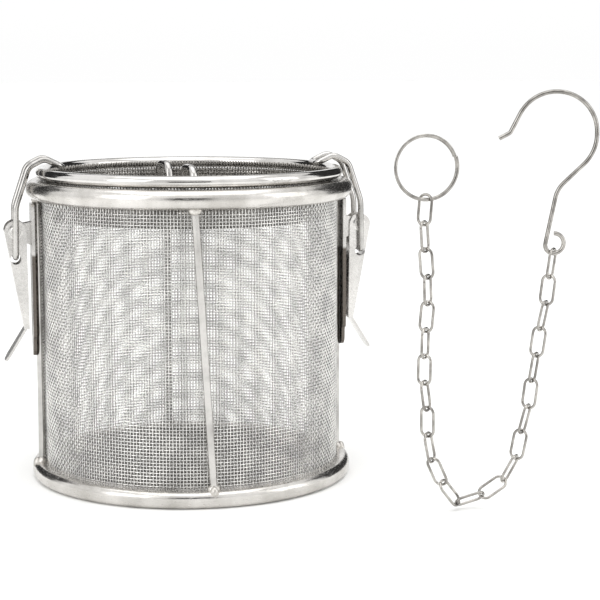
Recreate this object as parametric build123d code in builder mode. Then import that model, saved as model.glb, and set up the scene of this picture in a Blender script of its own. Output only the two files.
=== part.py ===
from build123d import *
import math
import os

os.makedirs("parts", exist_ok=True)

# Millimetres. The origin is the centre of the basket's foot, +Z up, the two latches on +X and -X.

# Basket rings: the rolled rim and the foot ring that clamp the woven wall.
rim_diameter = 122.0
rim_height = 7.0
rim_round = 2.6
basket_height = 112.4
foot_diameter = 121.0
foot_height = 6.4
foot_round = 2.2
ring_bore = 108.0          # inside both rings
bore_round = 0.35          # inner lip of a ring

# Woven wall and floor, as thin closed sheets.
sheet_thickness = 0.5
wall_diameter = 110.8      # over the woven wall
floor_seat = 4.2           # underside of the woven floor above the table
rim_grip = 5.0             # how far the wall runs up into the rim

# Upright ribs between the two rings.
rib_diameter = 2.8
rib_gap = 0.2              # rib to woven wall
rib_angles = {             # degrees from the front: at the foot, at the rim
    "rib_front": (-1.7, -7.5),
    "rib_right": (90.0, 90.0),
    "rib_back": (180.0, 180.0),
    "rib_left": (270.0, 270.0),
}

# Lid: polished wire ring, recessed woven dish and a bent wire handle.
lid_ring_diameter = 114.9
lid_wire = 4.3
lid_gap = 0.35             # lid ring above the rim
dish_gap = 0.9             # woven dish inside the rings' bore
dish_depth = 16.45         # centre of the lid ring down to the underside of the dish
dish_wall_rise = 0.4       # wall of the dish above the centre of the lid ring
handle_wire = 3.0
handle_top = 118.3         # over the two humps
handle_turn = 11.0         # degrees, handle line from the Y axis
handle_centre = (-4.9, 1.1)
hump_spacing = 27.0
hump_width = 10.0          # between the centre lines of a hump's legs
hump_splay = 3.0           # how far a leg leans out towards its foot
handle_foot_gap = 0.25     # wire above the dish's floor, filled by the weld

# Toggle latches. Out is the distance from the basket's axis.
pivot_out = 65.4
pivot_height = 93.9
bail_eye_out = 65.5
bail_eye_height = 84.4
plate_gap = 0.05           # plate to rib
plate_thickness = 1.2
plate_width = 10.4
plate_top = 103.9
plate_shoulder = 54.0
tongue_width = 7.0
tongue_end = 47.0
ear_thickness = 0.9
ear_spacing = 5.6          # over both ears
ear_round = 2.4
ear_foot = (88.6, 97.2)    # heights where an ear springs from the plate
pin_diameter = 2.5
running_gap = 0.05         # radial, pin in lever
bail_eye_gap = 0.25        # radial, bail tip in its punched hole
lever_width = 7.8
lever_sheet = 0.8
lever_round = 4.0          # rounded head about the pivot
lever_heel = (61.0, 57.6)  # inner edge at the bend
lever_bend = (62.9, 57.6)  # outer face at the bend
lever_tab_end = (70.3, 45.7)
tab_sheet = 0.9
tab_round = 3.0
web_start = 8.0            # degrees above level, where the outer web begins
side_gap = 0.3             # bail legs to lever cheeks
bail_wire = 2.2
bail_tip_in = 1.3          # tips reach this far inside the cheeks' outer faces
bail_knee = (65.2, 103.0)
bail_shoulder = (60.3, 117.6)
bail_crown = (54.5, 120.6)
bail_cross = (48.0, 117.5)
bail_tip_bend = 1.7
bail_knee_bend = 12.0
bail_shoulder_bend = 5.0
bail_crown_bend = 3.6
bail_cross_bend = 2.2

# Loose chain: split ring, twisted links and an open-eyed hook, in an upright plane beside the basket.
chain_plane = -80.0        # Y of the chain's plane
chain_start = (68.2, 110.7)
link_pitch = 9.25
link_wire = 0.95
link_width = 5.7           # over the wires
link_play = 0.3            # between two links that hang in each other
link_tilt = 45.0           # each link turned about its own length, one way and the other in turn
link_leans = [-4, 4, 5, 2, -5, -1, -1, 8, 1, 11, 24, 38, 104, 122, 150, 169, 165, 173, 171, 172, 168, 173, 172]
split_ring_diameter = 22.8
split_ring_band = 1.1
split_ring_height = 1.8
split_ring_round = 0.4
split_ring_play = 0.7      # between the split ring and the first link
hook_wire = 1.5
hook_play = 0.35
hook_yaw = -13.0           # turn of the hook's plane about the vertical
eye_radius = 3.5           # centre line of the hook's eye
# The hook's bow from the tip round to the shank, from the centre of its eye.
hook_bow = [(-19.5, 36.3), (-15.7, 38.3), (-8.6, 52.4), (14.2, 52.4), (14.2, 31.6), (0.9, 18.9)]
hook_bends = [1.8, 14.0, 14.0, 14.0, 10.0, 2.85, 3.45, 3.45]   # the last three are the eye

# Sizes that follow.
rim_radius = rim_diameter / 2
foot_radius = foot_diameter / 2
bore_radius = ring_bore / 2
wall_radius = wall_diameter / 2
rim_underside = basket_height - rim_height
rib_radius = rib_diameter / 2
rib_centre = wall_radius + rib_gap + rib_radius
lid_ring_radius = lid_ring_diameter / 2 - lid_wire / 2
lid_ring_height = basket_height + lid_gap + lid_wire / 2
dish_radius = bore_radius - dish_gap
dish_underside = lid_ring_height - dish_depth
plate_inner = rib_centre + rib_radius + plate_gap
plate_outer = plate_inner + plate_thickness
bail_leg_offset = lever_width / 2 + side_gap + bail_wire / 2
link_overshoot = (link_wire + link_play) / 2


def write(part, name):
    part.part.label = name
    export_step(part.part, f"parts/{name}.step")


def radial(side):
    """The upright plane through the basket's axis on one side: local x is out, local y is up."""
    return Plane(origin=(0, 0, 0), x_dir=(side, 0, 0), z_dir=(0, -side, 0))


def radial_at(side, across):
    return Plane(origin=(0, across, 0), x_dir=(side, 0, 0), z_dir=(0, -side, 0))


# Rolled rim, with a slot from below for the woven wall.
with BuildPart() as rim_ring:
    with BuildSketch(Plane.XZ) as rim_section:
        with Locations(((bore_radius + rim_radius) / 2, basket_height - rim_height / 2)):
            Rectangle(rim_radius - bore_radius, rim_height)
        fillet(rim_section.vertices().group_by(Axis.X)[-1], radius=rim_round)
        fillet(rim_section.vertices().group_by(Axis.X)[0], radius=bore_round)
        with Locations((wall_radius - sheet_thickness / 2, rim_underside + rim_grip / 2)):
            Rectangle(sheet_thickness, rim_grip, mode=Mode.SUBTRACT)
    revolve(axis=Axis.Z)
write(rim_ring, "rim_ring")

# Foot ring, stepped inside to carry the woven floor and wall.
with BuildPart() as foot_ring:
    with BuildSketch(Plane.XZ) as foot_section:
        with Locations(((bore_radius + foot_radius) / 2, foot_height / 2)):
            Rectangle(foot_radius - bore_radius, foot_height)
        fillet(foot_section.vertices().group_by(Axis.X)[-1], radius=foot_round)
        step_width = wall_radius - bore_radius
        step_height = foot_height - floor_seat
        with Locations((bore_radius + step_width / 2, floor_seat + step_height / 2)):
            Rectangle(step_width, step_height, mode=Mode.SUBTRACT)
    revolve(axis=Axis.Z)
write(foot_ring, "foot_ring")

with BuildPart() as wall_mesh:
    with BuildSketch(Plane.XY.offset(floor_seat)):
        Circle(wall_radius)
        Circle(wall_radius - sheet_thickness, mode=Mode.SUBTRACT)
    extrude(amount=rim_underside + rim_grip - floor_seat)
write(wall_mesh, "wall_mesh")

with BuildPart() as floor_mesh:
    with BuildSketch(Plane.XY.offset(floor_seat)):
        Circle(wall_radius - sheet_thickness)
    extrude(amount=sheet_thickness)
write(floor_mesh, "floor_mesh")

# Ribs stand between the rings, welded at both ends.
for rib_name, (low_angle, high_angle) in rib_angles.items():
    low, high = math.radians(low_angle), math.radians(high_angle)
    rib_foot = Vector(rib_centre * math.sin(low), -rib_centre * math.cos(low), foot_height)
    rib_head = Vector(rib_centre * math.sin(high), -rib_centre * math.cos(high), rim_underside)
    run = rib_head - rib_foot
    with BuildPart() as rib:
        with BuildSketch(Plane.XY.offset(foot_height)):
            with Locations((rib_foot.X, rib_foot.Y)):
                Circle(rib_radius)
        extrude(amount=run.length, dir=run.normalized())
    write(rib, rib_name)

# Lid.
with BuildPart() as lid_ring:
    with BuildSketch(Plane.XZ):
        with Locations((lid_ring_radius, lid_ring_height)):
            Circle(lid_wire / 2)
    revolve(axis=Axis.Z)
write(lid_ring, "lid_ring")

with BuildPart() as lid_mesh:
    wall_top = lid_ring_height + dish_wall_rise
    with BuildSketch(Plane.XY.offset(dish_underside)):
        Circle(dish_radius)
    extrude(amount=wall_top - dish_underside)
    with BuildSketch(Plane.XY.offset(dish_underside + sheet_thickness)):
        Circle(dish_radius - sheet_thickness)
    extrude(amount=wall_top - dish_underside - sheet_thickness, mode=Mode.SUBTRACT)
write(lid_mesh, "lid_mesh")

# Handle: one wire bent into two humps, standing on the dish's floor.
handle_line = Plane(
    origin=(handle_centre[0], handle_centre[1], 0),
    x_dir=(-math.sin(math.radians(handle_turn)), math.cos(math.radians(handle_turn)), 0),
    z_dir=(math.cos(math.radians(handle_turn)), math.sin(math.radians(handle_turn)), 0),
)
handle_floor = dish_underside + sheet_thickness + handle_foot_gap
crest = handle_top - handle_wire / 2
foot_out = hump_spacing / 2 + hump_width / 2 + hump_splay
foot_in = hump_spacing / 2 - hump_width / 2 - hump_splay
leg_out = hump_spacing / 2 + hump_width / 2
leg_in = hump_spacing / 2 - hump_width / 2
saddle = handle_floor + handle_wire / 2
with BuildPart() as lid_handle:
    with BuildLine(handle_line) as handle_path:
        FilletPolyline(
            (-foot_out, handle_floor),
            (-leg_out, crest),
            (-leg_in, crest),
            (-foot_in, saddle),
            (foot_in, saddle),
            (leg_in, crest),
            (leg_out, crest),
            (foot_out, handle_floor),
            radius=[hump_width * 0.38, hump_width * 0.38, hump_width * 0.25, hump_width * 0.25,
                    hump_width * 0.38, hump_width * 0.38],
        )
    with BuildSketch(Plane(origin=handle_path.wire() @ 0, z_dir=handle_path.wire() % 0)):
        Circle(handle_wire / 2)
    sweep(path=handle_path.wire())
write(lid_handle, "lid_handle")

# Latches. Both sides are made alike, each in its own upright plane.
for side_name, side in (("right", 1), ("left", -1)):
    face_plane = Plane(origin=(side * plate_inner, 0, 0), x_dir=(0, side, 0), z_dir=(side, 0, 0))
    ear_edge = (pivot_height + ear_round * 0.8, pivot_height - ear_round * 0.8)

    # Base plate with its rounded tongue and two ears for the pin.
    with BuildPart() as base_plate:
        with BuildSketch(face_plane) as plate_outline:
            with Locations((0, (plate_top + plate_shoulder) / 2)):
                Rectangle(plate_width, plate_top - plate_shoulder)
            fillet(plate_outline.vertices(), radius=1.2)
            with Locations((0, tongue_end + tongue_width / 2)):
                Circle(tongue_width / 2)
            tongue_run = plate_shoulder - tongue_end
            with Locations((0, tongue_end + tongue_width / 2 + tongue_run / 2)):
                Rectangle(tongue_width, tongue_run)
        extrude(amount=plate_thickness)
        for across in (ear_spacing / 2 - ear_thickness / 2, -ear_spacing / 2 + ear_thickness / 2):
            with BuildSketch(radial_at(side, across)):
                with BuildLine():
                    Polyline(
                        (plate_outer, ear_foot[0]),
                        (pivot_out + ear_round * 0.6, ear_edge[1]),
                        (pivot_out + ear_round * 0.6, ear_edge[0]),
                        (plate_outer, ear_foot[1]),
                        (plate_outer, ear_foot[0]),
                    )
                make_face()
                with Locations((pivot_out, pivot_height)):
                    Circle(ear_round)
                    Circle(pin_diameter / 2, mode=Mode.SUBTRACT)
            extrude(amount=ear_thickness / 2, both=True)
    write(base_plate, f"{side_name}_latch_plate")

    # Rivet pin through both ears, flush with the lever's cheeks.
    with BuildPart() as pivot_pin:
        with BuildSketch(radial(side)):
            with Locations((pivot_out, pivot_height)):
                Circle(pin_diameter / 2)
        extrude(amount=lever_width / 2, both=True)
    write(pivot_pin, f"{side_name}_latch_pin")

    # Lever: a tapering channel, open towards the basket, with a thumb tab bent outward.
    web = math.radians(web_start)
    pocket_round = lever_round - lever_sheet
    pocket_width = lever_width - 2 * lever_sheet
    with BuildPart() as lever:
        with BuildSketch(radial(side)):
            with BuildLine():
                Line(lever_heel, (pivot_out - lever_round, pivot_height))
                ThreePointArc(
                    (pivot_out - lever_round, pivot_height),
                    (pivot_out, pivot_height + lever_round),
                    (pivot_out + lever_round, pivot_height),
                )
                Line((pivot_out + lever_round, pivot_height), lever_bend)
                Line(lever_bend, lever_heel)
            make_face()
        extrude(amount=lever_width / 2, both=True)
        with BuildSketch(radial(side)):
            with BuildLine():
                Polyline(
                    (lever_heel[0] - lever_sheet, lever_heel[1] + lever_sheet),
                    (lever_bend[0] - lever_sheet, lever_bend[1] + lever_sheet),
                    (pivot_out + pocket_round, pivot_height),
                    (pivot_out + lever_round * 2, pivot_height + lever_round * 2 * math.sin(web)),
                    (pivot_out + lever_round * 2, pivot_height + lever_round * 2),
                    (lever_heel[0] - lever_sheet, pivot_height + lever_round * 2),
                    (lever_heel[0] - lever_sheet, lever_heel[1] + lever_sheet),
                )
            make_face()
        extrude(amount=pocket_width / 2, both=True, mode=Mode.SUBTRACT)
        with BuildSketch(radial(side)):
            with Locations((pivot_out, pivot_height)):
                Circle(pin_diameter / 2 + running_gap)
            with Locations((bail_eye_out, bail_eye_height)):
                Circle(bail_wire / 2 + bail_eye_gap)
        extrude(amount=lever_width, both=True, mode=Mode.SUBTRACT)
        tab_run = Vector(lever_tab_end[0] - lever_bend[0], lever_tab_end[1] - lever_bend[1]).normalized()
        inward = Vector(tab_run.Y, -tab_run.X) * tab_sheet
        with BuildSketch(radial(side)):
            with BuildLine():
                Polyline(
                    lever_bend,
                    lever_tab_end,
                    (lever_tab_end[0] + inward.X, lever_tab_end[1] + inward.Y),
                    (lever_bend[0] + tab_sheet / tab_run.Y, lever_bend[1]),
                    lever_bend,
                )
            make_face()
        extrude(amount=lever_width / 2, both=True)
        tab_end_edges = lever.edges().filter_by(
            lambda e: abs(e.length - tab_sheet) < 0.01 and e.center().Z < lever_tab_end[1] + tab_sheet
        )
        fillet(tab_end_edges, radius=tab_round)
    write(lever, f"{side_name}_latch_lever")

    # Bail: one wire from cheek to cheek over the lid ring.
    tip = lever_width / 2 - bail_tip_in
    path_side = [
        (side * bail_eye_out, tip, bail_eye_height),
        (side * bail_eye_out, bail_leg_offset, bail_eye_height),
        (side * bail_knee[0], bail_leg_offset, bail_knee[1]),
        (side * bail_shoulder[0], bail_leg_offset, bail_shoulder[1]),
        (side * bail_crown[0], bail_leg_offset, bail_crown[1]),
        (side * bail_cross[0], bail_leg_offset, bail_cross[1]),
    ]
    bends = [bail_tip_bend, bail_knee_bend, bail_shoulder_bend, bail_crown_bend, bail_cross_bend]
    path_back = [(x, -y, z) for x, y, z in reversed(path_side)]
    with BuildPart() as bail:
        with BuildLine() as bail_path:
            FilletPolyline(*path_side, *path_back, radius=bends + bends[::-1])
        with BuildSketch(Plane(origin=path_side[0], z_dir=(0, 1, 0))):
            Circle(bail_wire / 2)
        sweep(path=bail_path.wire())
    write(bail, f"{side_name}_latch_bail")

# Chain. Each joint is one pitch further along its link's lean from straight down.
joints = [Vector(chain_start[0], chain_plane, chain_start[1])]
for lean in link_leans:
    angle = math.radians(lean)
    joints.append(joints[-1] + Vector(math.sin(angle), 0, -math.cos(angle)) * link_pitch)
bend_radius = (link_width - link_wire) / 2
straight_half = (link_pitch + 2 * link_overshoot) / 2 - bend_radius
for number, (start, end) in enumerate(zip(joints, joints[1:])):
    run = (end - start).normalized()
    across = Vector(0, 1, 0)
    tilt = link_tilt if number % 2 == 0 else -link_tilt
    face_dir = across.rotate(Axis((0, 0, 0), run), tilt)
    link_plane = Plane(origin=(start + end) / 2, x_dir=run, z_dir=face_dir)
    with BuildPart() as link:
        with BuildLine(link_plane) as link_path:
            Line((-straight_half, bend_radius), (straight_half, bend_radius))
            ThreePointArc(
                (straight_half, bend_radius), (straight_half + bend_radius, 0), (straight_half, -bend_radius)
            )
            Line((straight_half, -bend_radius), (-straight_half, -bend_radius))
            ThreePointArc(
                (-straight_half, -bend_radius), (-straight_half - bend_radius, 0), (-straight_half, bend_radius)
            )
        with BuildSketch(Plane(origin=link_path.wire() @ 0, z_dir=link_path.wire() % 0)):
            Circle(link_wire / 2)
        sweep(path=link_path.wire())
    write(link, f"chain_link_{number + 1:02d}")

# Split ring through the first link.
ring_mid = split_ring_diameter / 2 - split_ring_band / 2
first_top = joints[0].Z + link_overshoot
ring_drop = link_wire / 2 + split_ring_band / 2 + split_ring_play
ring_centre = Vector(joints[0].X, chain_plane, first_top - ring_drop + ring_mid)
ring_plane = Plane(origin=ring_centre, x_dir=(1, 0, 0), z_dir=(0, 0, 1))
with BuildPart() as split_ring:
    with BuildSketch(ring_plane) as ring_section:
        with Locations((ring_mid, 0)):
            Rectangle(split_ring_band, split_ring_height)
        fillet(ring_section.vertices(), radius=split_ring_round)
    revolve(axis=Axis(origin=ring_centre, direction=(0, 1, 0)))
write(split_ring, "chain_split_ring")

# Hook: a wide bow, a straight shank and an open eye that holds the last link.
last_top = joints[-1].Z + link_overshoot
eye_drop = link_wire / 2 + hook_play + hook_wire / 2
eye_centre = Vector(joints[-1].X, chain_plane, last_top - eye_drop + eye_radius)
hook_points = hook_bow + [
    (-eye_radius, -eye_radius),
    (eye_radius, -eye_radius),
    (eye_radius, eye_radius),
    (0, eye_radius),
]
hook_plane = Plane(
    origin=eye_centre,
    x_dir=Vector(1, 0, 0).rotate(Axis.Z, hook_yaw),
    z_dir=Vector(0, -1, 0).rotate(Axis.Z, hook_yaw),
)
with BuildPart() as hook:
    with BuildLine(hook_plane) as hook_path:
        FilletPolyline(*hook_points, radius=hook_bends)
    with BuildSketch(Plane(origin=hook_path.wire() @ 0, z_dir=hook_path.wire() % 0)):
        Circle(hook_wire / 2)
    sweep(path=hook_path.wire())
write(hook, "chain_hook")
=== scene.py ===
import math
import random

import bmesh
import bpy
from mathutils import Matrix, Vector


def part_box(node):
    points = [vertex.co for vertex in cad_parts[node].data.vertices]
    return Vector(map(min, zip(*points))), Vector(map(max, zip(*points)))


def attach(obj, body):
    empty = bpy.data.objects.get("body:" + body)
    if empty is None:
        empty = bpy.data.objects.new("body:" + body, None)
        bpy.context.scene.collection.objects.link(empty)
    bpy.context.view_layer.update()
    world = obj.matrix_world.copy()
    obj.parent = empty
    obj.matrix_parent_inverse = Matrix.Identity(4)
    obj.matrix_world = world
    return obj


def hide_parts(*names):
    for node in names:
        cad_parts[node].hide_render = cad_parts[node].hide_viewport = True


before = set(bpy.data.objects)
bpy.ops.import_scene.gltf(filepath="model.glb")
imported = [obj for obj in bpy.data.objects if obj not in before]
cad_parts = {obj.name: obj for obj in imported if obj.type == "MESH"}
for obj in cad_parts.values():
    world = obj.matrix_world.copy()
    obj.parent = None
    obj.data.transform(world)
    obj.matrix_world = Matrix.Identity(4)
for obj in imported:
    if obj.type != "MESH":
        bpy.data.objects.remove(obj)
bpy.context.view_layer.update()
random.seed(7)
mm = 0.001
print("frame loaded")


# Colours and node helpers

def hexColour(text):
    # An sRGB hex colour made linear, with full alpha
    values = [int(text[i:i + 2], 16) / 255 for i in (1, 3, 5)]
    linear = [v / 12.92 if v <= 0.04045 else ((v + 0.055) / 1.055) ** 2.4 for v in values]
    return (*linear, 1.0)


def addNode(tree, kind, inputs=None, **settings):
    node = tree.nodes.new(kind)
    for key, value in settings.items():
        setattr(node, key, value)
    for key, value in (inputs or {}).items():
        if isinstance(value, bpy.types.NodeSocket):
            tree.links.new(value, node.inputs[key])
        else:
            node.inputs[key].default_value = value
    return node


# The last entry, in mm, is the height over which the latch plate's painted shade fades out upward
steelPattern = {"darkAt": 0.36, "lightAt": 0.64, "patchDetail": 3.0, "patchRoughness": 0.55,
                "lineDetail": 2.0, "lineLow": 0.3, "lineHigh": 0.7, "paintedShadeFade": 1.0}


def metal(name, look):
    # Light and dark steel tones drift over the piece, and fine lines run the way it was drawn or rolled
    material = bpy.data.materials.new(name)
    material.use_nodes = True
    tree = material.node_tree
    shader = tree.nodes["Principled BSDF"]
    place = addNode(tree, "ShaderNodeTexCoord").outputs["Object"]
    cloud = addNode(tree, "ShaderNodeTexNoise", {
        "Vector": place, "Scale": 1 / (look["patch"] * mm),
        "Detail": steelPattern["patchDetail"], "Roughness": steelPattern["patchRoughness"]})
    tone = addNode(tree, "ShaderNodeValToRGB", {"Fac": cloud.outputs["Fac"]})
    for element, shade in zip(tone.color_ramp.elements, ("dark", "light")):
        element.position = steelPattern[shade + "At"]
        element.color = hexColour(look[shade])
    stretch = addNode(tree, "ShaderNodeMapping", {"Vector": place, "Scale": look["stretch"]})
    lines = addNode(tree, "ShaderNodeTexNoise", {
        "Vector": stretch.outputs["Vector"], "Scale": 1 / (look["line"] * mm),
        "Detail": steelPattern["lineDetail"]})
    rough = addNode(tree, "ShaderNodeMapRange", {
        "Value": lines.outputs["Fac"],
        "From Min": steelPattern["lineLow"], "From Max": steelPattern["lineHigh"],
        "To Min": look["smooth"], "To Max": look["rough"]})
    bump = addNode(tree, "ShaderNodeBump", {
        "Height": lines.outputs["Fac"], "Strength": look["bump"], "Distance": look["depth"] * mm})
    colour = tone.outputs["Color"]
    if "paintedShade" in look:
        # Painted shade: the plate's colour is darkened below its ears, where the latch channel is in shade
        axes = addNode(tree, "ShaderNodeSeparateXYZ", {"Vector": place})
        share = addNode(tree, "ShaderNodeMapRange", {
            "Value": axes.outputs["Z"], "From Min": look["paintedShadeTop"] * mm,
            "From Max": (look["paintedShadeTop"] + steelPattern["paintedShadeFade"]) * mm})
        shadeMix = addNode(tree, "ShaderNodeMix", {"Factor": share.outputs["Result"]}, data_type="RGBA")
        shadeMix.inputs[6].default_value = hexColour(look["paintedShade"])
        tree.links.new(colour, shadeMix.inputs[7])
        colour = shadeMix.outputs[2]
    tree.links.new(colour, shader.inputs["Base Color"])
    tree.links.new(rough.outputs["Result"], shader.inputs["Roughness"])
    tree.links.new(bump.outputs["Normal"], shader.inputs["Normal"])
    shader.inputs["Metallic"].default_value = 1.0
    return material


# Stainless wire cloth: bright drawn wires, a little duller where they bed on each other
wovenSteel = metal("stainlessWireCloth", {
    "patch": 7.0, "dark": "#D0CFCD", "light": "#F0EFEC", "line": 0.5, "stretch": (1, 1, 1),
    "smooth": 0.12, "rough": 0.24, "bump": 0.1, "depth": 0.02})
# The same cloth, duller and greyer than the polished wall, on the floor and lid: it is a little rougher, and
# its colour is darkened as painted shade for these inner parts
clothShadeSteel = metal("wireClothPaintedShade", {
    "patch": 7.0, "dark": "#8A8783", "light": "#AFACA7", "line": 0.5, "stretch": (1, 1, 1),
    "smooth": 0.20, "rough": 0.36, "bump": 0.1, "depth": 0.02})
# Rolled and polished stainless ring: soft streaks run round it from the polishing wheel
rolledSteel = metal("polishedRolledStainless", {
    "patch": 16.0, "dark": "#BFBDBA", "light": "#DEDCD9", "line": 2.2, "stretch": (0.35, 0.35, 5.0),
    "smooth": 0.07, "rough": 0.16, "bump": 0.06, "depth": 0.03})
# Drawn stainless wire, polished: long bright lines with slight waviness
drawnSteel = metal("brightDrawnStainlessWire", {
    "patch": 9.0, "dark": "#ABA9A6", "light": "#CBC9C6", "line": 1.6, "stretch": (3.0, 3.0, 0.5),
    "smooth": 0.10, "rough": 0.20, "bump": 0.05, "depth": 0.02})
# Pressed stainless sheet, barrel tumbled: satin with tiny dents
pressedSteel = metal("tumbledPressedStainless", {
    "patch": 11.0, "dark": "#C6C4C1", "light": "#DCDAD7", "line": 0.7, "stretch": (1, 1, 1),
    "smooth": 0.20, "rough": 0.34, "bump": 0.12, "depth": 0.03})
# Pressed latch plate with painted shade below its ears: its colour is darkened there, so it looks like a dark
# strip between the bright parts
plateSteel = metal("pressedPlatePaintedShade", {
    "patch": 11.0, "dark": "#BFBDBA", "light": "#D8D6D3", "line": 0.7, "stretch": (1, 1, 1),
    "smooth": 0.22, "rough": 0.36, "bump": 0.12, "depth": 0.03, "paintedShade": "#6A645E", "paintedShadeTop": 84.5})
# Basket rings, rolled and only satin finished: a broad soft sheen with short marks round the ring
satinSteel = metal("satinRolledStainless", {
    "patch": 14.0, "dark": "#BDBAB5", "light": "#DDDAD6", "line": 1.2, "stretch": (0.5, 0.5, 4.0),
    "smooth": 0.15, "rough": 0.30, "bump": 0.08, "depth": 0.03})
# Nickel-plated steel chain wire: greyer than the basket, and darker where plating is thin
chainSteel = metal("nickelPlatedChainWire", {
    "patch": 4.0, "dark": "#85827E", "light": "#B6B3AE", "line": 0.6, "stretch": (1, 1, 1),
    "smooth": 0.07, "rough": 0.16, "bump": 0.1, "depth": 0.02})
# Silver-grey weld beads, slightly straw tinted and matt
weldSteel = metal("stainlessWeldBead", {
    "patch": 1.2, "dark": "#B9B5AF", "light": "#DAD7D2", "line": 0.4, "stretch": (1, 1, 1),
    "smooth": 0.30, "rough": 0.50, "bump": 0.3, "depth": 0.05})
print("materials made")


# Finishing a piece

def makePiece(bm, name, material, body, replaced=(), smooth=True):
    mesh = bpy.data.meshes.new(name)
    bm.to_mesh(mesh)
    bm.free()
    for face in mesh.polygons:
        face.use_smooth = smooth
    mesh.materials.append(material)
    piece = bpy.data.objects.new(name, mesh)
    bpy.context.collection.objects.link(piece)
    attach(piece, body)
    if replaced:
        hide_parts(*replaced)


# Rings of the basket and the lid
ringLook = {"bore": 54.0, "rimRound": 3.1, "footRound": 2.6, "boreRound": 0.4, "steps": 256, "lidSides": 28,
            "outerSegments": 8, "boreSegments": 3}


def spinRing(bm, steps):
    # Turns the outline that stands in the XZ plane into a whole ring about Z
    bmesh.ops.spin(bm, geom=bm.edges[:], cent=(0, 0, 0), axis=(0, 0, 1), angle=2 * math.pi,
                   steps=steps, use_merge=True)
    bmesh.ops.remove_doubles(bm, verts=bm.verts[:], dist=1e-6)
    bmesh.ops.recalc_face_normals(bm, faces=bm.faces[:])


def roundOutline(bm, inner, outer, low, high, outerRound, innerRound):
    # A rounded oblong in the XZ plane, from the ring's bore to its outside
    middle = ((inner + outer) / 2, 0, (low + high) / 2)
    place = Matrix.Translation(middle) @ Matrix.Rotation(math.pi / 2, 4, "X")
    bmesh.ops.create_grid(bm, x_segments=1, y_segments=1, size=0.5,
                          matrix=place @ Matrix.Diagonal((outer - inner, high - low, 1, 1)))
    outside = [v for v in bm.verts if v.co.x > (inner + outer) / 2]
    bmesh.ops.bevel(bm, geom=outside, offset=outerRound, segments=ringLook["outerSegments"], profile=0.5,
                    affect="VERTICES", material=-1)
    inside = [v for v in bm.verts if v.co.x < inner + 1e-6]
    bmesh.ops.bevel(bm, geom=inside, offset=innerRound, segments=ringLook["boreSegments"], profile=0.5,
                    affect="VERTICES", material=-1)
    bmesh.ops.delete(bm, geom=bm.faces[:], context="FACES_ONLY")


for nodeName, outerRound in (("rim_ring", ringLook["rimRound"]), ("foot_ring", ringLook["footRound"])):
    low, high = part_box(nodeName)
    bm = bmesh.new()
    roundOutline(bm, ringLook["bore"] * mm, high[0], low[2], high[2],
                 outerRound * mm, ringLook["boreRound"] * mm)
    spinRing(bm, ringLook["steps"])
    makePiece(bm, nodeName.replace("_r", "R"), satinSteel, "basket", [nodeName])

low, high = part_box("lid_ring")
lidWire = (high[2] - low[2]) / 2
bm = bmesh.new()
bmesh.ops.create_circle(bm, segments=ringLook["lidSides"], radius=lidWire,
                        matrix=Matrix.Translation((high[0] - lidWire, 0, (low[2] + high[2]) / 2))
                        @ Matrix.Rotation(math.pi / 2, 4, "X"))
spinRing(bm, ringLook["steps"])
makePiece(bm, "lidRing", rolledSteel, "lid", ["lid_ring"])
print("rings made")


# Woven wire cloth, with threads 1.2 mm apart
cloth = {"count": 288, "wire": 0.48, "lift": 0.23, "sides": 4, "tuck": 0.5, "rimTuck": 1.0, "halfSheet": 0.25,
         "discInset": 0.3, "dishTuck": 0.2}
wallLow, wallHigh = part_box("wall_mesh")
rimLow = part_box("rim_ring")[0][2]
halfSheet = cloth["halfSheet"] * mm
wallRadius = wallHigh[0] - halfSheet
pitch = 2 * math.pi * wallRadius / cloth["count"]
wireRadius = cloth["wire"] / 2 * mm
lift = cloth["lift"] * mm
discInset = cloth["discInset"] * mm


def straightThread(bm, crossings, turn, firstUp):
    # A thread up Z from the origin with a bend at each crossing, waved across by lift
    length = crossings * pitch
    before = len(bm.verts)
    made = bmesh.ops.create_cone(bm, cap_ends=True, segments=cloth["sides"], radius1=wireRadius,
                                 radius2=wireRadius, depth=length,
                                 matrix=Matrix.Translation((0, 0, length / 2)))
    long = [e for e in {e for v in made["verts"] for e in v.link_edges} if e.calc_length() > length / 2]
    bmesh.ops.subdivide_edges(bm, edges=long, cuts=crossings - 1)
    verts = bm.verts[before:]
    for vert in verts:
        up = 1 if (round(vert.co.z / pitch) + firstUp) % 2 else -1
        vert.co.x += up * lift
    bmesh.ops.transform(bm, matrix=turn, verts=verts)


def ringThread(bm, radius, height, firstUp):
    # A hoop of thread, bent in and out at each upright thread
    hoop = bmesh.new()
    stand = Matrix.Translation((radius, 0, height)) @ Matrix.Rotation(math.pi / 2, 4, "X")
    bmesh.ops.create_circle(hoop, segments=cloth["sides"], radius=wireRadius, matrix=stand)
    spinRing(hoop, cloth["count"])
    step = 2 * math.pi / cloth["count"]
    for vert in hoop.verts:
        place = round(math.atan2(vert.co.y, vert.co.x) / step)
        out = 1 if (place + firstUp) % 2 else -1
        reach = math.hypot(vert.co.x, vert.co.y)
        scale = (reach + out * lift) / reach
        vert.co.x *= scale
        vert.co.y *= scale
    mesh = bpy.data.meshes.new("hoop")
    hoop.to_mesh(mesh)
    hoop.free()
    bm.from_mesh(mesh)
    bpy.data.meshes.remove(mesh)


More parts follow.
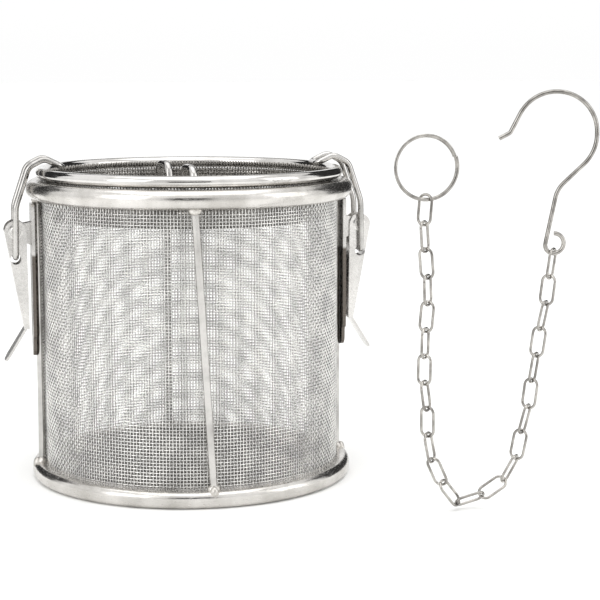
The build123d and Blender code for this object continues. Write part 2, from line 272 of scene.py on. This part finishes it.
def cylinderCloth(name, radius, low, rows, body, replaced, steel):
    # Upright threads, as a pair carried round, and hoops, as a pair carried up
    step = 2 * math.pi / cloth["count"]
    bm = bmesh.new()
    for n in (0, 1):
        place = Matrix.Rotation(n * step, 4, "Z") @ Matrix.Translation((radius, 0, low))
        straightThread(bm, rows, place, n)
    whole = bm.verts[:] + bm.edges[:] + bm.faces[:]
    pairs = cloth["count"] // 2
    bmesh.ops.spin(bm, geom=whole, cent=(0, 0, 0), axis=(0, 0, 1), angle=2 * step * (pairs - 1),
                   steps=pairs - 1, use_merge=False, use_duplicate=True)
    makePiece(bm, name + "Uprights", steel, body, replaced)
    bm = bmesh.new()
    for n in (0, 1):
        ringThread(bm, radius, low + (n + 1) * pitch, n)
    whole = bm.verts[:] + bm.edges[:] + bm.faces[:]
    hoopPairs = (rows - 1) // 2
    bmesh.ops.spin(bm, geom=whole, cent=(0, 0, 0), axis=(0, 0, 1), angle=0, steps=hoopPairs - 1,
                   dvec=(0, 0, 2 * pitch), use_merge=False, use_duplicate=True)
    makePiece(bm, name + "Hoops", steel, body, replaced)


def discCloth(name, radius, height, body, replaced):
    # A round of cloth: threads along X and along Y, each as long as the round is there
    for along, label in ((0, "Across"), (1, "Along")):
        bm = bmesh.new()
        reach = int(radius / pitch)
        for n in range(-reach, reach + 1):
            half = int(math.sqrt(max(radius ** 2 - (n * pitch) ** 2, 0)) / pitch)
            if half < 2:
                continue
            # The thread runs up Z with its waves along X, so it is laid down with the waves upright
            start = (-half * pitch, n * pitch, height)
            lay = Matrix.Translation(start) @ Matrix.Rotation(math.pi / 2, 4, "Y")
            if along:
                lay = Matrix.Rotation(math.pi / 2, 4, "Z") @ lay
            straightThread(bm, 2 * half, lay, half + n + along)
        # Floor and dish rounds take the cloth whose darker colour is painted shade
        makePiece(bm, name + label, clothShadeSteel, body, replaced)


wallRows = int((rimLow + cloth["rimTuck"] * mm - wallLow[2]) / pitch)
cylinderCloth("wallCloth", wallRadius, wallLow[2] + cloth["tuck"] * mm, wallRows,
              "basket", ["wall_mesh"], wovenSteel)
print("wall woven")
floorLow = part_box("floor_mesh")[0]
discCloth("floorCloth", wallRadius - discInset, floorLow[2] + halfSheet, "basket", ["floor_mesh"])
dishLow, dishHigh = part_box("lid_mesh")
dishRadius = dishHigh[0] - halfSheet
discCloth("dishCloth", dishRadius - discInset, dishLow[2] + halfSheet, "lid", ["lid_mesh"])
dishRows = int((dishHigh[2] - dishLow[2]) / pitch)
# The dish wall takes the cloth whose darker colour is painted shade
cylinderCloth("dishWall", dishRadius, dishLow[2] + cloth["dishTuck"] * mm, dishRows,
              "lid", ["lid_mesh"], clothShadeSteel)
print("floor and lid woven")


# Split ring: flat wire wound twice round, with its ends stepping off the coil
splitRing = {"thick": 0.56, "pitch": 0.6, "wide": 1.1, "stepsPerTurn": 96, "turns": 2, "startAngle": 20,
             "spread": 0.16, "sides": 12}
low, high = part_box("chain_split_ring")
ringCentre = (Vector(low) + Vector(high)) / 2
ringMid = (high[0] - low[0]) / 2 - splitRing["wide"] / 2 * mm
bm = bmesh.new()
bmesh.ops.create_circle(bm, segments=splitRing["sides"], radius=0.5, cap_ends=True)
bmesh.ops.scale(bm, vec=(splitRing["wide"] * mm, splitRing["thick"] * mm, 1), verts=bm.verts[:])
bmesh.ops.transform(bm, matrix=Matrix.Translation((ringMid, 0, -splitRing["pitch"] * mm))
                    @ Matrix.Rotation(math.pi / 2, 4, "X"), verts=bm.verts[:])
coilSteps = splitRing["stepsPerTurn"] * splitRing["turns"]
bmesh.ops.spin(bm, geom=bm.faces[:] + bm.edges[:], cent=(0, 0, 0), axis=(0, 0, 1),
               angle=2 * math.pi * splitRing["turns"], steps=coilSteps, use_merge=False,
               dvec=(0, 0, splitRing["pitch"] * mm / splitRing["stepsPerTurn"]))
# The outer turn is a little larger than the inner one, so the two read as separate wires
for vert in bm.verts:
    reach = math.hypot(vert.co.x, vert.co.y)
    grown = (reach + vert.co.z / splitRing["pitch"] * splitRing["spread"]) / reach
    vert.co.x *= grown
    vert.co.y *= grown
bmesh.ops.recalc_face_normals(bm, faces=bm.faces[:])
upright = Matrix.Translation(ringCentre) @ Matrix.Rotation(math.pi / 2, 4, "X")
bmesh.ops.transform(bm, matrix=upright @ Matrix.Rotation(math.radians(splitRing["startAngle"]), 4, "Z"),
                    verts=bm.verts[:])
makePiece(bm, "splitRing", chainSteel, "split_ring", ["chain_split_ring"])
print("split ring wound")


# Weld beads at the ribs' ends, lapping over the foot ring, and under the lid handle. Three numbers
# are a half size
beads = {"ribBead": (2.4, 1.9, 2.0), "ribOut": 0.3, "ribRound": 1.4,
         "footLap": (1.65, 1.5, 2.6), "lapOut": 59.0, "lapDrop": 1.0,
         "handleBead": (2.3, 2.3, 0.9), "handleWire": 3.0, "handleLift": 0.4, "dishSheet": 0.5,
         "handleShares": (-0.5, -0.13, 0.13, 0.5), "rough": 0.04}


def addBead(bm, centre, size, turn=0.0):
    made = bmesh.ops.create_icosphere(bm, subdivisions=3, radius=1.0)
    for vert in made["verts"]:
        vert.co *= 1 + random.uniform(-beads["rough"], beads["rough"])
    swell = Matrix.Diagonal((*[s * mm for s in size], 1))
    shape = Matrix.Translation(centre) @ Matrix.Rotation(turn, 4, "Z") @ swell
    bmesh.ops.transform(bm, matrix=shape, verts=made["verts"])


bm = bmesh.new()
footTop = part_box("foot_ring")[1][2]
for ribName in ("rib_front", "rib_right", "rib_back", "rib_left"):
    low, high = (Vector(corner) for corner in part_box(ribName))
    topX = footX = (low.x + high.x) / 2
    if ribName == "rib_front":
        # This rib leans, so its ends are at the two sides of its box
        topX = low.x + beads["ribRound"] * mm
        footX = high.x - beads["ribRound"] * mm
    y = (low.y + high.y) / 2
    for x, height in ((topX, rimLow), (footX, footTop)):
        out = Vector((x, y, 0)).normalized() * beads["ribOut"] * mm
        addBead(bm, (x + out.x, y + out.y, height), beads["ribBead"], math.atan2(y, x) - math.pi / 2)
    lap = Vector((footX, y, 0)).normalized() * beads["lapOut"] * mm
    turn = math.atan2(lap.y, lap.x) - math.pi / 2
    addBead(bm, (lap.x, lap.y, footTop - beads["lapDrop"] * mm), beads["footLap"], turn)
makePiece(bm, "ribWelds", weldSteel, "basket")

bm = bmesh.new()
handleLow, handleHigh = (Vector(corner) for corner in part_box("lid_handle"))
dishFloor = dishLow[2] + beads["dishSheet"] * mm
handleWire = beads["handleWire"] * mm
handleLine = Vector((-(handleHigh.x - handleLow.x - handleWire), handleHigh.y - handleLow.y - handleWire, 0))
handleMiddle = (handleLow + handleHigh) / 2
for share in beads["handleShares"]:
    spot = handleMiddle + handleLine * share
    addBead(bm, (spot.x, spot.y, dishFloor + beads["handleLift"] * mm), beads["handleBead"])
makePiece(bm, "handleWelds", weldSteel, "lid")
print("welds made")


# Latch levers: the pressed lever with the wide hole that the bail hangs in, and the riveted pivot
lever = {"holeRound": 2.0, "holeDrop": 0.75, "headRound": 2.1, "headProud": 0.24, "collarRound": 2.75,
         "collarProud": 0.12, "taper": 0.8, "sides": 48, "bailWire": 2.2, "cutLength": 30.0}


def cutCopy(nodeName, cutters):
    # A merged copy of a CAD node's mesh with shapes cut out of it
    bm = bmesh.new()
    bm.from_mesh(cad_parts[nodeName].data)
    bmesh.ops.remove_doubles(bm, verts=bm.verts[:], dist=1e-7)
    mesh = bpy.data.meshes.new(nodeName + "Blank")
    bm.to_mesh(mesh)
    bm.free()
    blank = bpy.data.objects.new(nodeName + "Blank", mesh)
    cutterMesh = bpy.data.meshes.new(nodeName + "Cutter")
    cutters.to_mesh(cutterMesh)
    cutters.free()
    cutter = bpy.data.objects.new(nodeName + "Cutter", cutterMesh)
    for helper in (blank, cutter):
        bpy.context.collection.objects.link(helper)
    cut = blank.modifiers.new("cut", "BOOLEAN")
    cut.operation = "DIFFERENCE"
    cut.solver = "EXACT"
    cut.object = cutter
    graph = bpy.context.evaluated_depsgraph_get()
    result = bmesh.new()
    result.from_mesh(bpy.data.meshes.new_from_object(blank.evaluated_get(graph)))
    for helper in (blank, cutter):
        bpy.data.objects.remove(helper)
    bmesh.ops.remove_doubles(result, verts=result.verts[:], dist=1e-7)
    return result


def addDisc(bm, centre, radius, thick, side):
    # A low round head about Y, narrower at its outer end
    middle = (centre[0], centre[1] + side * thick / 2, centre[2])
    bmesh.ops.create_cone(bm, cap_ends=True, segments=lever["sides"], radius1=radius,
                          radius2=radius * lever["taper"], depth=thick,
                          matrix=Matrix.Translation(middle) @ Matrix.Rotation(-side * math.pi / 2, 4, "X"))


for sideName, side in (("left", -1), ("right", 1)):
    low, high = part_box(sideName + "_latch_lever")
    pinLow, pinHigh = (Vector(corner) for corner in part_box(sideName + "_latch_pin"))
    bailLow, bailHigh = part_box(sideName + "_latch_bail")
    bailRadius = lever["bailWire"] / 2 * mm
    eyeOut = (bailLow[0] if side < 0 else bailHigh[0]) - side * bailRadius
    eye = (eyeOut, 0, bailLow[2] + bailRadius - lever["holeDrop"] * mm)
    cutters = bmesh.new()
    bmesh.ops.create_cone(cutters, cap_ends=True, segments=lever["sides"], radius1=lever["holeRound"] * mm,
                          radius2=lever["holeRound"] * mm, depth=lever["cutLength"] * mm,
                          matrix=Matrix.Translation(eye) @ Matrix.Rotation(math.pi / 2, 4, "X"))
    makePiece(cutCopy(sideName + "_latch_lever", cutters), sideName + "Lever", pressedSteel,
              sideName + "_lever", [sideName + "_latch_lever"], smooth=False)
    pivot = (pinLow + pinHigh) / 2
    bm = bmesh.new()
    for end, face in ((-1, low[1]), (1, high[1])):
        addDisc(bm, (pivot.x, face, pivot.z), lever["collarRound"] * mm, lever["collarProud"] * mm, end)
        addDisc(bm, (pivot.x, face, pivot.z), lever["headRound"] * mm, lever["headProud"] * mm, end)
    makePiece(bm, sideName + "PivotHeads", pressedSteel, sideName + "_lever", smooth=False)
print("latches made")


# Materials on the CAD nodes that stay
finishes = {"rib": drawnSteel, "lid_handle": drawnSteel, "left_latch_bail": drawnSteel,
            "right_latch_bail": drawnSteel, "left_latch_pin": drawnSteel, "right_latch_pin": drawnSteel,
            "left_latch_plate": plateSteel, "right_latch_plate": plateSteel, "left_latch": pressedSteel,
            "right_latch": pressedSteel, "chain": chainSteel}
for nodeName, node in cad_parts.items():
    for start, material in finishes.items():
        if nodeName.startswith(start):
            for place in node.material_slots:
                place.material = material
            break


# Stage: pale floor, white walls for the metal to mirror, and dark cards for its streaks
stageLook = {"floor": "#F4F4F3", "card": "#0C0C0D", "roughness": 0.9, "floorSize": 12.0, "floorShift": 2.0}


def plainMaterial(name, colour):
    material = bpy.data.materials.new(name)
    material.use_nodes = True
    shader = material.node_tree.nodes["Principled BSDF"]
    shader.inputs["Base Color"].default_value = hexColour(colour)
    shader.inputs["Roughness"].default_value = stageLook["roughness"]
    return material


def stagePlane(name, size, place, material):
    bm = bmesh.new()
    bmesh.ops.create_grid(bm, x_segments=1, y_segments=1, size=0.5,
                          matrix=place @ Matrix.Diagonal((size[0], size[1], 1, 1)))
    mesh = bpy.data.meshes.new(name)
    bm.to_mesh(mesh)
    bm.free()
    mesh.materials.append(material)
    plane = bpy.data.objects.new(name, mesh)
    bpy.context.collection.objects.link(plane)
    return plane


floorPaint = plainMaterial("paleStudioFloor", stageLook["floor"])
cardPaint = plainMaterial("blackCard", stageLook["card"])
stagePlane("floor", (stageLook["floorSize"], stageLook["floorSize"]),
           Matrix.Translation((0, stageLook["floorShift"], 0)), floorPaint)


def lookAt(spot, target):
    return (Vector(target) - Vector(spot)).to_track_quat("-Z", "Y").to_matrix().to_4x4()


aim = (0, 0, 0.07)
# Dark cards that only reflections show, for the thin dark streaks in polished steel: place, width and height
cards = {"cardFront": ((-0.13, -0.80, 0.20), (0.44, 0.28)),
         "cardBackRight": ((0.73, 0.53, 0.28), (0.95, 0.90)),
         "cardBackLeft": ((-0.53, 0.73, 0.28), (0.80, 0.90)),
         "cardBack": ((0.15, 0.95, 0.75), (1.3, 0.30))}
for cardName, (spot, size) in cards.items():
    card = stagePlane(cardName, size, Matrix.Translation(spot) @ lookAt(spot, aim), cardPaint)
    card.visible_shadow = False
    card.visible_camera = False
    card.visible_diffuse = False


def areaLight(name, spot, size, power):
    light = bpy.data.lights.new(name, "AREA")
    light.shape = "RECTANGLE"
    light.size, light.size_y = size
    light.energy = power
    lamp = bpy.data.objects.new(name, light)
    lamp.matrix_world = Matrix.Translation(spot) @ lookAt(spot, aim)
    bpy.context.collection.objects.link(lamp)


areaLight("softTop", (0.0, -0.2, 1.5), (1.6, 1.6), 9)
areaLight("softLeft", (-1.3, -0.9, 0.7), (0.9, 1.1), 5)
areaLight("softRight", (1.4, -0.7, 0.6), (0.8, 1.1), 4)

# A white studio, a little greyer low down, where the walls get less light
studio = {"low": "#F2F2F2", "high": "#FFFFFF", "lowAt": 0.50, "highAt": 0.68, "strength": 1.12}
world = bpy.data.worlds.new("whiteStudio")
world.use_nodes = True
tree = world.node_tree
where = addNode(tree, "ShaderNodeTexCoord").outputs["Generated"]
axes = addNode(tree, "ShaderNodeSeparateXYZ", {"Vector": where})
rise = addNode(tree, "ShaderNodeMapRange", {"Value": axes.outputs["Z"], "From Min": -1.0, "From Max": 1.0})
tone = addNode(tree, "ShaderNodeValToRGB", {"Fac": rise.outputs["Result"]})
for element, shade in zip(tone.color_ramp.elements, ("low", "high")):
    element.position = studio[shade + "At"]
    element.color = hexColour(studio[shade])
tree.links.new(tone.outputs["Color"], tree.nodes["Background"].inputs["Color"])
tree.nodes["Background"].inputs["Strength"].default_value = studio["strength"]
bpy.context.scene.world = world

# Camera
cameraLook = {"spot": (-0.1046, -0.6379, 0.160), "turn": -13.0, "down": 8.3, "lens": 102.9, "sensor": 36.0}
cameraData = bpy.data.cameras.new("camera")
cameraData.lens = cameraLook["lens"]
cameraData.sensor_width = cameraLook["sensor"]
camera = bpy.data.objects.new("camera", cameraData)
camera.location = cameraLook["spot"]
camera.rotation_euler = (math.radians(90 - cameraLook["down"]), 0, math.radians(cameraLook["turn"]))
bpy.context.collection.objects.link(camera)
bpy.context.scene.camera = camera
bpy.context.scene.view_settings.view_transform = "Standard"  # a plain white studio stays white
print("stage and camera set")
